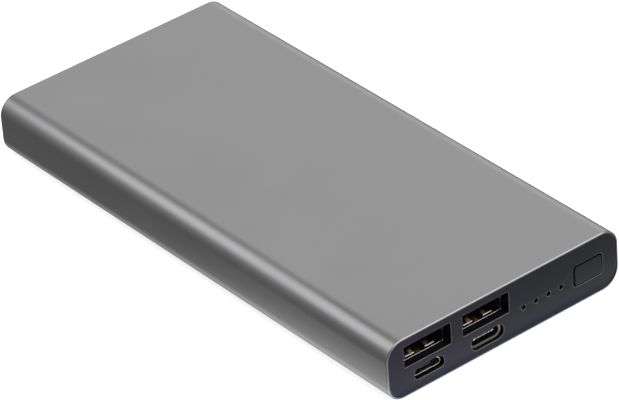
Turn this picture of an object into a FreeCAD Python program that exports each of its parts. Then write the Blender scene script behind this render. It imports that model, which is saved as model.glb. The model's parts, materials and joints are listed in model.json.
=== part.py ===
"""A slim aluminium power bank, built as an assembly of separate pieces.

An extruded tube holds two pouch cells and a circuit board. A plastic bulkhead closes each end, held by two
screws, and a thin cover plate taped over it hides the screws. The front cover carries two USB-A sockets above
a micro-USB and a USB-C socket, four indicator holes and a power button that presses a side-push switch.

Frame: millimetres, +X to the right as the ports are faced, +Y from the port end to the rear, +Z up.
The origin is the centre of the underside. Distances named depth run from the port end towards the rear.
"""

import FreeCAD, Part
import math
import os

V = FreeCAD.Vector

# ---------------------------------------------------------------- driving dimensions
body_width = 70.0
body_height = 15.9
body_length = 146.7
corner_radius = 4.9

wall = 0.9
rim_chamfer = 0.2
rim_wall = 0.4  # tube wall left beside the cover plate
channel_radius = 1.6  # screw channel in each side of the tube
channel_mouth = 0.45  # half the width of the slot along a channel
channel_inset = 2.0  # from the tube's inner wall to a channel's axis

cover_recess = 0.25
cover_thickness = 1.2
cover_gap = 0.1
tape_thickness = 0.15
bulkhead_thickness = 1.8
bulkhead_gap = 0.1

screw_radius = 1.0  # M2
screw_length = 8.0
screw_head_radius = 1.5
screw_head_height = 1.2
thread_clearance = 0.02

# Port centres across the front, seen from outside
usb_a_x = {"left": -22.68, "right": -5.31}
usb_a_z = 10.44
usb_c_x, usb_c_z = -5.11, 3.9
micro_x, micro_z = -22.46, 4.42
button_x, button_z = 25.79, 7.56
indicator_first_x = 5.98
indicator_pitch = 3.84
indicator_count = 4
indicator_z = 6.8

# Openings in the front cover
usb_a_opening = (13.9, 5.7, 0.35)
usb_c_opening = (9.8, 3.8, 1.9)
micro_opening_margin = 0.45
button_slot = (9.05, 5.75, 1.0)
indicator_hole_radius = 0.62
opening_round = 0.15
cover_round = 0.25

# Power button
button_face = (8.3, 5.0, 0.7)
button_flange = (8.9, 7.2, 0.8)
button_face_depth = 0.08  # a little proud of the cover's face, inside the tube's rim
button_flange_thickness = 0.6
button_travel = 0.35
button_room = 0.25  # left behind the flange at full travel
button_post = (2.4, 1.4)

# Indicator lights behind their holes
light_pin_radius = 0.5
light_pin_depth = 0.95
light_bar_front, light_bar_back = 2.7, 3.9
light_bar_height = 2.4
light_bar_margin = 1.1  # beyond the first and last pins
light_bar_below = 0.6  # below the pins' axes
led_front = 4.1

# Switch that the button presses
switch_front, switch_rear = 5.4, 8.6
switch_half_width = 2.35
switch_height = 1.7
switch_axis_height = 0.8  # its plunger's axis above the board
plunger_front = 4.0
dome_rear = 7.15

# USB-A socket
usb_a_shell = (13.1, 5.7)
usb_a_shell_wall = 0.3
usb_a_rim_depth = 2.4
usb_a_length = 14.0
usb_a_tongue = (11.1, 1.84)
usb_a_tongue_gap = 0.71  # between the tongue and the near shell wall
usb_a_contact_x = (-3.5, -1.0, 1.0, 3.5)
usb_a_block_front = 12.0
usb_a_tail_depth = 15.0
contact_sheet = 0.25
contact_seat = 0.35  # height of the contacts' backs above the tongue's low face
finger_x = 2.95
finger_width = 2.6
finger_window = (3.2, 0.7, 6.6)  # width, then start and end behind the rim
leg_depths = (5.0, 11.5)
leg_length = 1.6

# USB-C socket
usb_c_shell = (8.94, 3.16)
usb_c_shell_wall = 0.3
usb_c_length = 7.35
usb_c_rim_depth = 1.2
usb_c_lip = 0.2  # how far the mouth's lip stands out from the shell
usb_c_lip_depth = 0.45
usb_c_dish = 0.2  # how far the mouth slopes in from the lip to the bore
usb_c_tongue = (6.69, 0.7)
usb_c_contacts = 12
usb_c_pitch = 0.5
usb_c_leg_depths = (4.6, 7.0)
usb_c_leg_length = 1.1
mid_plate_sheet = 0.16

# Micro-USB socket: wide side down
micro_wide, micro_narrow = 7.9, 5.9
micro_height, micro_side_height = 2.5, 1.25
micro_corner = 0.8
micro_shell_wall = 0.25
micro_length = 5.4
micro_rim_depth = 1.15
micro_contacts = 5
micro_pitch = 0.65
micro_tongue = (3.7, 0.6)
micro_tongue_gap = 0.35  # between the tongue and the wide side of the shell
micro_block_front = 4.9
micro_leg_depth, micro_leg_length = 4.6, 1.0

# Circuit board
board_half_width = 30.0
board_front, board_rear = 4.0, 25.0
board_bottom, board_top = 5.85, 7.45
rail_inner_x = 28.0
board_screw_x, board_screw_depth = 28.3, 21.5
leg_stand = 0.1  # how far the small sockets' legs stand out above the board

# Cells
cell_width, cell_length, cell_thickness = 60.0, 112.0, 6.3
cell_front = 29.5
cell_lower_z = 1.5
cell_bond = 0.1
terrace_length = 3.5
terrace_sheet = 0.3
tab_width, tab_sheet = 5.0, 0.15
thermistor_x = 22.0

# ---------------------------------------------------------------- derived places
port_end = -body_length / 2
middle_z = body_height / 2
cover_face = cover_recess
cover_back = cover_face + cover_thickness
tape_back = cover_back + tape_thickness
bulkhead_back = tape_back + bulkhead_thickness
button_flange_front = cover_back + 0.05
channel_x = body_width / 2 - wall - channel_inset
usb_a_inner_low = usb_a_z - usb_a_shell[1] / 2 + usb_a_shell_wall
usb_a_inner_high = usb_a_z + usb_a_shell[1] / 2 - usb_a_shell_wall
usb_a_back = usb_a_rim_depth + usb_a_length
usb_a_tongue_front = usb_a_rim_depth + 0.7
usb_a_tongue_top = usb_a_inner_high - usb_a_tongue_gap
usb_a_tongue_low = usb_a_tongue_top - usb_a_tongue[1]
contact_tail_low = board_bottom - 0.7

micro_back = micro_rim_depth + micro_length
micro_low = micro_z - micro_height / 2
micro_inner_low = micro_low + micro_shell_wall
micro_tongue_low = micro_inner_low + micro_tongue_gap
micro_tongue_high = micro_tongue_low + micro_tongue[1]
micro_tongue_front = micro_rim_depth + 0.8

usb_c_back = usb_c_rim_depth + usb_c_length
usb_c_tongue_front = usb_c_rim_depth + 0.7
usb_c_block_front = usb_c_tongue_front + 4.45
mid_plate_half = usb_c_tongue[0] / 2 - 0.02

light_bar = (
    indicator_first_x - light_bar_margin,
    indicator_first_x + (indicator_count - 1) * indicator_pitch + light_bar_margin,
    indicator_z - light_bar_below,
    indicator_z - light_bar_below + light_bar_height,
)
switch_top = board_top + switch_height
switch_z = board_top + switch_axis_height

cell_upper_z = cell_lower_z + cell_thickness + cell_bond
terrace_front = cell_front - terrace_length
thermistor_depth = cell_front - 0.9
thermistor_z = cell_upper_z + cell_thickness / 2 + 1.0


# ---------------------------------------------------------------- drawing helpers
def at(depth):
    """The Y of a depth behind the port end."""
    return port_end + depth


def block(x0, x1, depth0, depth1, z0, z1):
    """A box between two corners."""
    return Part.makeBox(x1 - x0, depth1 - depth0, z1 - z0, V(x0, at(depth0), z0))


def rounded_wire(width, height, radius, x, z, depth):
    """A rounded rectangle, or a stadium, in an XZ plane, centred on x and z."""
    half_w, half_h = width / 2, height / 2
    stadium = radius >= half_h - 1e-6
    radius = min(radius, half_h)
    y = at(depth)
    diagonal = radius * math.sqrt(0.5)
    edges = []
    corners = [(1, 1), (-1, 1), (-1, -1), (1, -1)]
    points = []
    for i, (sx, sz) in enumerate(corners):
        cx, cz = x + sx * (half_w - radius), z + sz * (half_h - radius)
        along_x = V(cx, y, cz + sz * radius)
        along_z = V(cx + sx * radius, y, cz)
        between = V(cx + sx * diagonal, y, cz + sz * diagonal)
        first, last = (along_z, along_x) if i % 2 == 0 else (along_x, along_z)
        points.append((first, between, last))
    for i, (first, between, last) in enumerate(points):
        edges.append(Part.Arc(first, between, last).toShape())
        following = points[(i + 1) % 4][0]
        if not (stadium and i % 2 == 1):
            edges.append(Part.makeLine(last, following))
    return Part.Wire(edges)


def rounded_block(size, x, z, depth0, depth1):
    """A rounded rectangle of (width, height, radius) run from one depth to another."""
    width, height, radius = size
    face = Part.Face(rounded_wire(width, height, radius, x, z, depth0))
    return face.extrude(V(0, depth1 - depth0, 0))


def tube_outline(inset):
    """The tube's rounded outline, moved inwards, as (width, height, radius)."""
    return (body_width - 2 * inset, body_height - 2 * inset, corner_radius - inset)


def peg(radius, x, z, depth0, depth1):
    """A round bar along Y."""
    return Part.makeCylinder(radius, depth1 - depth0, V(x, at(depth0), z), V(0, 1, 0))


def post(radius, x, depth, z0, z1):
    """A round bar along Z."""
    return Part.makeCylinder(radius, z1 - z0, V(x, at(depth), z0), V(0, 0, 1))


def plan_profile(points, z0, z1):
    """A closed outline of (x, depth) points, run from z0 to z1."""
    corners = [V(x, at(depth), z0) for x, depth in points]
    face = Part.Face(Part.makePolygon(corners + corners[:1]))
    return face.extrude(V(0, 0, z1 - z0))


def edges_at_depth(shape, depth):
    """The edges that lie wholly in the plane at a depth."""
    y = at(depth)
    return [e for e in shape.Edges if abs(e.BoundBox.YMin - y) < 1e-6 and abs(e.BoundBox.YMax - y) < 1e-6]


def inside(edge, x0, x1, z0, z1):
    """Whether an edge's bounding box lies in a window of the front view."""
    b = edge.BoundBox
    return b.XMin > x0 and b.XMax < x1 and b.ZMin > z0 and b.ZMax < z1


def edges_along(shape, direction):
    """The straight edges that run along a direction."""
    found = []
    for edge in shape.Edges:
        if edge.Curve.TypeId == "Part::GeomLine" and abs(abs(edge.Curve.Direction.dot(direction)) - 1) < 1e-9:
            found.append(edge)
    return found


def mirrored_to_rear(shape):
    """The same piece at the other end of the tube."""
    return shape.mirror(V(0, 0, 0), V(0, 1, 0))


def together(shapes):
    """Several separate solids kept in one node."""
    return Part.makeCompound(shapes)


# ---------------------------------------------------------------- tube and ends
def make_sleeve():
    outer = rounded_block(tube_outline(0), 0, middle_z, 0, body_length)
    rims = edges_at_depth(outer, 0) + edges_at_depth(outer, body_length)
    outer = outer.makeChamfer(rim_chamfer, rims)
    bore = rounded_block(tube_outline(wall), 0, middle_z, 0, body_length)
    channel_start, channel_end = bulkhead_back, body_length - bulkhead_back
    for side in (-1, 1):
        x = side * channel_x
        rib = peg(channel_radius, x, middle_z, channel_start, channel_end)
        foot = block(
            min(x, side * body_width / 2),
            max(x, side * body_width / 2),
            channel_start,
            channel_end,
            middle_z - channel_radius,
            middle_z + channel_radius,
        )
        hole = peg(screw_radius + thread_clearance, x, middle_z, channel_start, channel_end)
        slot_end = x - side * 2 * channel_radius
        slot = block(
            min(x, slot_end),
            max(x, slot_end),
            channel_start,
            channel_end,
            middle_z - channel_mouth,
            middle_z + channel_mouth,
        )
        bore = bore.cut(rib.fuse(foot).cut(hole).cut(slot))
    sleeve = outer.cut(bore)
    for start in (0, body_length - tape_back):
        seat = rounded_block(tube_outline(rim_wall), 0, middle_z, start, start + tape_back)
        sleeve = sleeve.cut(seat)
    return sleeve


def micro_outline(margin, depth):
    """The micro-USB shell's outline as a wire: flat and wide below, narrower above, grown by margin."""
    wide, narrow = micro_wide / 2 + margin, micro_narrow / 2 + margin
    low, high = micro_z - micro_height / 2 - margin, micro_z + micro_height / 2 + margin
    knee = micro_z - micro_height / 2 + micro_side_height
    across = [(-wide, low), (wide, low), (wide, knee), (narrow, high), (-narrow, high), (-wide, knee)]
    points = [V(micro_x + dx, at(depth), z) for dx, z in across]
    return Part.makePolygon(points + points[:1])


def micro_block(margin, depth0, depth1):
    """The micro-USB outline run along Y, with its long edges rounded."""
    shape = Part.Face(micro_outline(margin, depth0)).extrude(V(0, depth1 - depth0, 0))
    return shape.makeFillet(micro_corner + margin, edges_along(shape, V(0, 1, 0)))


def indicator_places():
    return [indicator_first_x + i * indicator_pitch for i in range(indicator_count)]


def port_cuts(depth0, depth1, growth):
    """The four port openings as solids, grown by growth on every side."""
    width, height, radius = usb_a_opening
    size_a = (width + 2 * growth, height + 2 * growth, radius)
    width, height, radius = usb_c_opening
    size_c = (width + 2 * growth, height + 2 * growth, radius + growth)
    cuts = [rounded_block(size_a, x, usb_a_z, depth0, depth1) for x in usb_a_x.values()]
    cuts.append(rounded_block(size_c, usb_c_x, usb_c_z, depth0, depth1))
    cuts.append(micro_block(micro_opening_margin + growth, depth0, depth1))
    return cuts


def blank_cover():
    """A cover plate with its front edge rounded and no openings."""
    plate = rounded_block(tube_outline(rim_wall + cover_gap), 0, middle_z, cover_face, cover_back)
    return plate.makeFillet(cover_round, edges_at_depth(plate, cover_face))


def make_front_cover():
    plate = blank_cover()
    for cut in port_cuts(cover_face - 1, cover_back + 1, 0):
        plate = plate.cut(cut)
    plate = plate.cut(rounded_block(button_slot, button_x, button_z, cover_face - 1, cover_back + 1))
    for x in indicator_places():
        plate = plate.cut(peg(indicator_hole_radius, x, indicator_z, cover_face - 1, cover_back + 1))
    margin = cover_round + rim_wall + cover_gap + 0.05
    half = body_width / 2
    rims = [
        e
        for e in edges_at_depth(plate, cover_face)
        if inside(e, -half + margin, half - margin, margin, body_height - margin)
    ]
    return plate.makeFillet(opening_round, rims)


def make_tape():
    """Die-cut double-sided tape behind a cover: a ring with the middle left open."""
    outside = tube_outline(rim_wall + cover_gap + 0.3)
    tape = rounded_block(outside, 0, middle_z, cover_back, tape_back)
    for cut in port_cuts(0, bulkhead_back, 0.35):
        tape = tape.cut(cut)
    width, height, radius = button_flange
    tape = tape.cut(rounded_block((width + 0.8, height + 0.8, radius), button_x, button_z, 0, bulkhead_back))
    span = (indicator_count - 1) * indicator_pitch
    middle = indicator_first_x + span / 2
    return tape.cut(rounded_block((span + 3.0, 3.0, 1.4), middle, indicator_z, 0, bulkhead_back))


def make_rear_tape():
    outside = tube_outline(rim_wall + cover_gap + 0.3)
    tape = rounded_block(outside, 0, middle_z, cover_back, tape_back)
    tape = tape.cut(rounded_block((52.0, 8.0, 2.0), 0, middle_z, 0, bulkhead_back))
    return mirrored_to_rear(tape)


def blank_bulkhead():
    """The plastic wall behind a cover, with its two countersunk screw holes."""
    plate = rounded_block(tube_outline(wall + bulkhead_gap), 0, middle_z, tape_back, bulkhead_back)
    for side in (-1, 1):
        x = side * channel_x
        plate = plate.cut(peg(screw_radius + 0.1, x, middle_z, 0, bulkhead_back + 1))
        head = Part.makeCone(
            screw_head_radius + 0.1,
            screw_radius + 0.1,
            screw_head_height,
            V(x, at(tape_back), middle_z),
            V(0, 1, 0),
        )
        plate = plate.cut(head)
    return plate


def board_rail(side):
    """A rail behind the front bulkhead that carries one side of the board and takes its screw."""
    bore = rounded_block(tube_outline(wall + bulkhead_gap), 0, middle_z, tape_back, board_rear + 1)
    front, rear = bulkhead_back - 0.5, board_rear + 0.4
    inner, outer = sorted((side * rail_inner_x, side * body_width / 2))
    rail = block(inner, outer, front, rear, 0, board_bottom)
    boss = post(2.1, side * board_screw_x, board_screw_depth, board_bottom - 4.6, board_bottom)
    rail = rail.common(bore).cut(block(-31.6, 31.6, bulkhead_back + 2, 18.5, 0, 3.6)).fuse(boss)
    rail = rail.cut(post(0.82, side * board_screw_x, board_screw_depth, board_bottom - 3.5, board_bottom + 1))
    if side < 0:
        leg_x = usb_a_x["left"] - usb_a_shell[0] / 2
        for depth in leg_depths:
            leg_back = depth + leg_length
            notch = block(leg_x - 0.3, leg_x + 1.5, depth - 0.4, leg_back + 0.4, 5.0, board_bottom + 1)
            rail = rail.cut(notch)
    return rail


def make_front_bulkhead():
    plate = blank_bulkhead()
    for cut in port_cuts(0, bulkhead_back + 1, 0.2):
        plate = plate.cut(cut)
    pocket_floor = button_flange_front + button_flange_thickness + button_travel + button_room
    width, height, radius = button_flange
    pocket = (width + 0.3, height + 0.3, radius)
    plate = plate.cut(rounded_block(pocket, button_x, button_z, 0, pocket_floor))
    window = (button_post[0] + 0.6, button_post[1] + 0.6, 0.3)
    plate = plate.cut(rounded_block(window, button_x, switch_z, 0, bulkhead_back + 1))
    for x in indicator_places():
        plate = plate.cut(peg(light_pin_radius + 0.1, x, indicator_z, 0, bulkhead_back + 1))
    x0, x1, z0, z1 = light_bar
    bar_gap = 0.1
    bar_room = (x0 - bar_gap, x1 + bar_gap, light_bar_front - 0.05, bulkhead_back + 1)
    plate = plate.cut(block(*bar_room, z0 - bar_gap, z1 + bar_gap))
    for side in (-1, 1):
        plate = plate.fuse(board_rail(side))
    return plate.removeSplitter()


def make_rear_bulkhead():
    plate = blank_bulkhead()
    rib_back = bulkhead_back + 1.0
    for z0, z1 in ((1.6, 2.6), (body_height - 2.6, body_height - 1.6)):
        plate = plate.fuse(block(-26, 26, bulkhead_back - 0.2, rib_back, z0, z1))
    for x in (-18.0, 0.0, 18.0):
        plate = plate.fuse(block(x - 0.5, x + 0.5, bulkhead_back - 0.2, rib_back, 1.8, body_height - 1.8))
    return mirrored_to_rear(plate.removeSplitter())


def countersunk_screw(x, z, depth):
    """A cross-head countersunk screw that enters towards the rear."""
    head = Part.makeCone(screw_head_radius, screw_radius, screw_head_height, V(x, at(depth), z), V(0, 1, 0))
    screw = head.fuse(peg(screw_radius, x, z, depth + screw_head_height, depth + screw_length))
    for width, height in ((2.2, 0.45), (0.45, 2.2)):
        screw = screw.cut(
            block(x - width / 2, x + width / 2, depth - 1, depth + 0.7, z - height / 2, z + height / 2)
        )
    return screw


def make_end_screws():
    front = [countersunk_screw(side * channel_x, middle_z, tape_back + 0.05) for side in (-1, 1)]
    return together(front + [mirrored_to_rear(screw) for screw in front])


# ---------------------------------------------------------------- indicators
def make_light_guide():
    x0, x1, z0, z1 = light_bar
    guide = block(x0, x1, light_bar_front, light_bar_back, z0, z1)
    for x in indicator_places():
        guide = guide.fuse(peg(light_pin_radius, x, indicator_z, light_pin_depth, light_bar_front + 0.2))
    return guide.makeFillet(0.2, edges_at_depth(guide, light_pin_depth))


def make_status_leds():
    chips = []
    for x in indicator_places():
        base = block(x - 0.8, x + 0.8, led_front + 0.25, led_front + 0.95, board_top, board_top + 0.6)
        lens = block(x - 0.55, x + 0.55, led_front, led_front + 0.25, board_top + 0.05, board_top + 0.55)
        chips.append(base.fuse(lens))
    return together(chips)


# ---------------------------------------------------------------- button and its switch
def make_power_button():
    flange_back = button_flange_front + button_flange_thickness
    cap = rounded_block(button_face, button_x, button_z, button_face_depth, button_flange_front + 0.1)
    cap = cap.makeFillet(0.18, edges_at_depth(cap, button_face_depth))
    flange = rounded_block(button_flange, button_x, button_z, button_flange_front, flange_back)
    width, height = button_post
    stem = block(
        button_x - width / 2,
        button_x + width / 2,
        flange_back - 0.1,
        plunger_front - 0.02,
        switch_z - height / 2,
        switch_z + height / 2,
    )
    button = cap.fuse(flange).fuse(stem)
    relief = (button_face[0] - 2.0, 1.4, 0.4)
    relief_z = button_z - button_face[1] / 2 + 1.5
    relief_front = button_face_depth + 0.8
    button = button.cut(rounded_block(relief, button_x, relief_z, relief_front, flange_back + 1))
    return button.removeSplitter()


def make_switch_plunger():
    stem = block(button_x - 1.0, button_x + 1.0, plunger_front, 5.9, switch_z - 0.4, switch_z + 0.4)
    stem = stem.makeFillet(0.12, edges_at_depth(stem, plunger_front))
    collar = block(button_x - 1.4, button_x + 1.4, 5.75, 6.05, switch_z - 0.52, switch_z + 0.52)
    nose = peg(0.35, button_x, switch_z, 6.0, 6.45)
    return stem.fuse(collar).fuse(nose)


def make_switch_dome():
    """A thin arched strip: its crown touches the plunger and its feet stand on the housing's rear wall."""
    half, rise, sheet = 1.45, 0.65, 0.1
    crown = dome_rear - rise

    def arch(offset):
        ends = [V(button_x + s * half, at(dome_rear), switch_z - 0.5) for s in (-1, 1)]
        return Part.Arc(ends[0], V(button_x, at(crown + offset), switch_z - 0.5), ends[1])

    outer, inner = arch(0).toShape(), arch(sheet).toShape()
    face = Part.Face(Part.Wire([outer, inner]))
    return face.extrude(V(0, 0, 1.0))


def make_switch_body():
    x0, x1 = button_x - switch_half_width, button_x + switch_half_width
    body = block(x0, x1, switch_front, switch_rear, board_top, switch_top - 0.15)
    room = block(button_x - 1.55, button_x + 1.55, 5.7, dome_rear, board_top + 0.22, switch_top)
    window = block(button_x - 1.05, button_x + 1.05, switch_front - 1, 5.8, switch_z - 0.45, switch_top)
    return body.cut(room).cut(window)


def make_switch_bracket():
    """The sheet metal cover over the switch body, with a leg down each side."""
    x0, x1 = button_x - switch_half_width - 0.15, button_x + switch_half_width + 0.15
    cover = block(x0, x1, switch_front, switch_rear, switch_top - 0.15, switch_top)
    for x in (x0, x1 - 0.15):
        cover = cover.fuse(block(x, x + 0.15, switch_front + 0.6, switch_rear - 0.6, board_top, switch_top))
    return cover


# ---------------------------------------------------------------- USB-A sockets
def spring_finger(x, surface, inwards):
    """A rear-anchored spring tongue pressed out of a shell wall, bowed into the socket."""
    start, end = usb_a_rim_depth + finger_window[1] + 0.15, usb_a_rim_depth + finger_window[2]
    sheet = usb_a_shell_wall - 0.05
    length = end - start
    # (share of the length, height above the wall): a short lead-in, then a long flat bow
    stations = [(0.0, 0.0), (0.025, 0.13), (0.15, 0.28), (0.32, 0.34), (0.55, 0.26), (0.78, 0.11), (1.0, 0.0)]
    tip_share, coined_share = 0.7, 0.15  # the sheet is coined thinner at its tip

    def curve(offset):
        points = []
        for share, rise in stations:
            thick = tip_share + (1 - tip_share) * min(1, share / coined_share)
            points.append(V(x, at(start + share * length), surface + inwards * (rise - offset * thick)))
        spline = Part.BSplineCurve()
        spline.interpolate(points)
        return spline.toShape()

    top, low = curve(0), curve(sheet)
    first = Part.makeLine(top.Vertexes[0].Point, low.Vertexes[0].Point)
    last = Part.makeLine(top.Vertexes[1].Point, low.Vertexes[1].Point)
    face = Part.Face(Part.Wire([top, last, low, first]))
    half = finger_width / 2
    finger = face.extrude(V(finger_width, 0, 0))
    finger.translate(V(-half, 0, 0))
    root = block(x - half, x + half, end - 0.05, end + 0.1, 0, 1)
    low_z = min(surface, surface - inwards * usb_a_shell_wall)
    root.translate(V(0, 0, low_z))
    return finger, root.common(block(x - 2, x + 2, 0, 20, low_z, low_z + usb_a_shell_wall))


def make_usb_a_shell(x):
    width, height = usb_a_shell
    outer = rounded_block((width, height, 0.6), x, usb_a_z, usb_a_rim_depth, usb_a_back)
    hollow_size = (width - 2 * usb_a_shell_wall, height - 2 * usb_a_shell_wall, 0.3)
    hollow = rounded_block(hollow_size, x, usb_a_z, usb_a_rim_depth - 1, usb_a_back - usb_a_shell_wall)
    shell = outer.cut(hollow)
    mouth = [e for e in edges_at_depth(shell, usb_a_rim_depth) if e.BoundBox.XLength > width / 2]
    shell = shell.makeFillet(0.1, mouth)
    bevel = usb_a_shell_wall - 0.01
    for side in (-1, 1):
        edge_x = x + side * width / 2
        corners = [(edge_x, usb_a_rim_depth - 0.01), (edge_x - side * bevel, usb_a_rim_depth - 0.01)]
        corners.append((edge_x, usb_a_rim_depth + 2 * bevel))
        shell = shell.cut(plan_profile(corners, usb_a_z - height / 2 + 0.6, usb_a_z + height / 2 - 0.6))
    window_width, start, end = finger_window
    for side in (-1, 1):
        cx = x + side * finger_x
        for surface, inwards in ((usb_a_inner_low, 1), (usb_a_inner_high, -1)):
            reach = sorted((surface - inwards * 1.0, surface + inwards * 0.1))
            shell = shell.cut(
                block(
                    cx - window_width / 2,
                    cx + window_width / 2,
                    usb_a_rim_depth + start,
                    usb_a_rim_depth + end,
                    *reach,
                )
            )
            finger, root = spring_finger(cx, surface, inwards)
            shell = shell.fuse(finger).fuse(root)
        leg_x = sorted((x + side * width / 2, x + side * (width / 2 - usb_a_shell_wall)))
        for depth in leg_depths:
            shell = shell.fuse(
                block(*leg_x, depth, depth + leg_length, contact_tail_low, usb_a_z - height / 2 + 1.5)
            )
    slot_front, slot_back = usb_a_tail_depth - 0.4, usb_a_tail_depth + 0.6
    tail_slot = block(x - 4.4, x + 4.4, slot_front, slot_back, 7, usb_a_inner_low + 0.2)
    return shell.cut(tail_slot).removeSplitter()


def usb_a_contact(x):
    """One sprung contact: it lies in the tongue's groove, bows down below it, and ends in a tail."""
    width = 1.0
    rest = usb_a_tongue_low + contact_seat
    stations = [
        (usb_a_tongue_front + 0.5, 0.0),
        (usb_a_tongue_front + 1.6, -0.35),
        (usb_a_tongue_front + 3.0, -1.0),
        (usb_a_tongue_front + 5.2, -0.1),
        (usb_a_tongue_front + 6.4, 0.0),
    ]

    def bow(shift):
        spline = Part.BSplineCurve()
        spline.interpolate([V(x - width / 2, at(d), rest + dz + shift) for d, dz in stations])
        return spline.toShape()

    top, low = bow(0), bow(-contact_sheet)
    first = Part.makeLine(top.Vertexes[0].Point, low.Vertexes[0].Point)
    last = Part.makeLine(top.Vertexes[1].Point, low.Vertexes[1].Point)
    spring = Part.Face(Part.Wire([top, last, low, first])).extrude(V(width, 0, 0))
    tail_back = usb_a_tail_depth + contact_sheet
    strip = block(x - width / 2, x + width / 2, stations[-1][0], tail_back, rest - contact_sheet, rest)
    tail = block(x - 0.35, x + 0.35, usb_a_tail_depth, tail_back, contact_tail_low, rest)
    return spring.fuse(strip).fuse(tail)


def make_usb_a_contacts(x):
    return together([usb_a_contact(x + dx) for dx in usb_a_contact_x])


def make_usb_a_insulator(x):
    gap = 0.03
    half = usb_a_shell[0] / 2 - usb_a_shell_wall - gap
    base = block(
        x - half,
        x + half,
        usb_a_block_front,
        usb_a_back - usb_a_shell_wall - gap,
        usb_a_inner_low + gap,
        usb_a_inner_high - gap,
    )
    base = base.makeFillet(0.3, edges_along(base, V(0, 1, 0)))
    width = usb_a_tongue[0]
    tongue = block(
        x - width / 2,
        x + width / 2,
        usb_a_tongue_front,
        usb_a_block_front + 0.5,
        usb_a_tongue_low,
        usb_a_tongue_top,
    )
    tongue = tongue.makeChamfer(0.3, edges_at_depth(tongue, usb_a_tongue_front))
    insulator = base.fuse(tongue)
    top, tail_back = usb_a_tongue_low + contact_seat, usb_a_tail_depth + contact_sheet
    for dx in usb_a_contact_x:
        cx = x + dx
        for cut in (
            block(cx - 0.6, cx + 0.6, usb_a_tongue_front + 0.45, usb_a_block_front, 0, top + 0.06),
            block(cx - 0.5, cx + 0.5, usb_a_block_front - 0.1, tail_back, top - contact_sheet, top),
            block(cx - 0.35, cx + 0.35, usb_a_tail_depth, tail_back, 0, top),
        ):
            insulator = insulator.cut(cut)
    return insulator.removeSplitter()


# ---------------------------------------------------------------- micro-USB socket
def make_micro_usb_shell():
    outer = micro_block(0, micro_rim_depth, micro_back)
    inner = micro_block(-micro_shell_wall, micro_rim_depth - 1, micro_back + 1)
    shell = outer.cut(inner)
    shell = shell.makeFillet(0.08, edges_at_depth(shell, micro_rim_depth))
    for side in (-1, 1):
        outer_x = micro_x + side * micro_wide / 2
        leg_x = sorted((outer_x, outer_x - side * micro_shell_wall))
        leg_back = micro_leg_depth + micro_leg_length
        shell = shell.fuse(block(*leg_x, micro_leg_depth, leg_back, micro_low + 0.9, board_top + leg_stand))
    return shell.removeSplitter()


def micro_contact_x():
    first = micro_x - (micro_contacts - 1) / 2 * micro_pitch
    return [first + i * micro_pitch for i in range(micro_contacts)]


def make_micro_usb_contacts():
    strips = []
    for x in micro_contact_x():
        x0, x1, sheet = x - 0.19, x + 0.19, 0.15
        foot_front, foot_back = micro_back + 0.15, micro_back + 0.15 + sheet
        strip = block(x0, x1, micro_tongue_front + 0.25, foot_back, 0, sheet)
        strip.translate(V(0, 0, micro_tongue_high - 0.1))
        foot = block(x0, x1, foot_front, foot_back, micro_tongue_high, board_bottom)
        toe = block(x0, x1, foot_front, micro_back + 0.9, board_bottom - sheet, board_bottom)
        strips.append(strip.fuse(foot).fuse(toe))
    return together(strips)


def make_micro_usb_insulator():
    base = micro_block(-micro_shell_wall - 0.03, micro_block_front, micro_back)
    tongue = block(
        micro_x - micro_tongue[0] / 2,
        micro_x + micro_tongue[0] / 2,
        micro_tongue_front,
        micro_block_front + 0.3,
        micro_tongue_low,
        micro_tongue_high,
    )
    tongue = tongue.makeChamfer(0.15, edges_at_depth(tongue, micro_tongue_front))
    insulator = base.fuse(tongue)
    for x in micro_contact_x():
        slot = block(x - 0.19, x + 0.19, micro_tongue_front + 0.25, micro_back + 1, 0, 0.15)
        slot.translate(V(0, 0, micro_tongue_high - 0.1))
        insulator = insulator.cut(slot)
    return insulator.removeSplitter()


# ---------------------------------------------------------------- USB-C socket
def make_usb_c_shell():
    width, height = usb_c_shell
    outer = rounded_block((width, height, height / 2), usb_c_x, usb_c_z, usb_c_rim_depth, usb_c_back)
    lip_size = (width + 2 * usb_c_lip, height + 2 * usb_c_lip, height / 2 + usb_c_lip)
    lip_back = usb_c_rim_depth + usb_c_lip_depth
    outer = outer.fuse(rounded_block(lip_size, usb_c_x, usb_c_z, usb_c_rim_depth, lip_back))
    bore_w, bore_h = width - 2 * usb_c_shell_wall, height - 2 * usb_c_shell_wall
    bore = rounded_block((bore_w, bore_h, bore_h / 2), usb_c_x, usb_c_z, usb_c_rim_depth - 1, usb_c_back + 1)
    dish = Part.makeLoft(
        [
            rounded_wire(*lip_size, usb_c_x, usb_c_z, usb_c_rim_depth - 0.01),
            rounded_wire(bore_w, bore_h, bore_h / 2, usb_c_x, usb_c_z, usb_c_rim_depth + usb_c_dish),
        ],
        True,
        True,
    )
    shell = outer.cut(bore).cut(dish)
    for side in (-1, 1):
        leg_x = sorted((usb_c_x + side * width / 2, usb_c_x + side * (width / 2 - 0.28)))
        for depth in usb_c_leg_depths:
            leg_back = depth + usb_c_leg_length
            shell = shell.fuse(block(*leg_x, depth, leg_back, usb_c_z - 0.4, board_top + leg_stand))
    return shell.removeSplitter()


def usb_c_pad_x():
    first = usb_c_x - (usb_c_contacts - 1) / 2 * usb_c_pitch
    return [first + i * usb_c_pitch for i in range(usb_c_contacts)]


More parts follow.
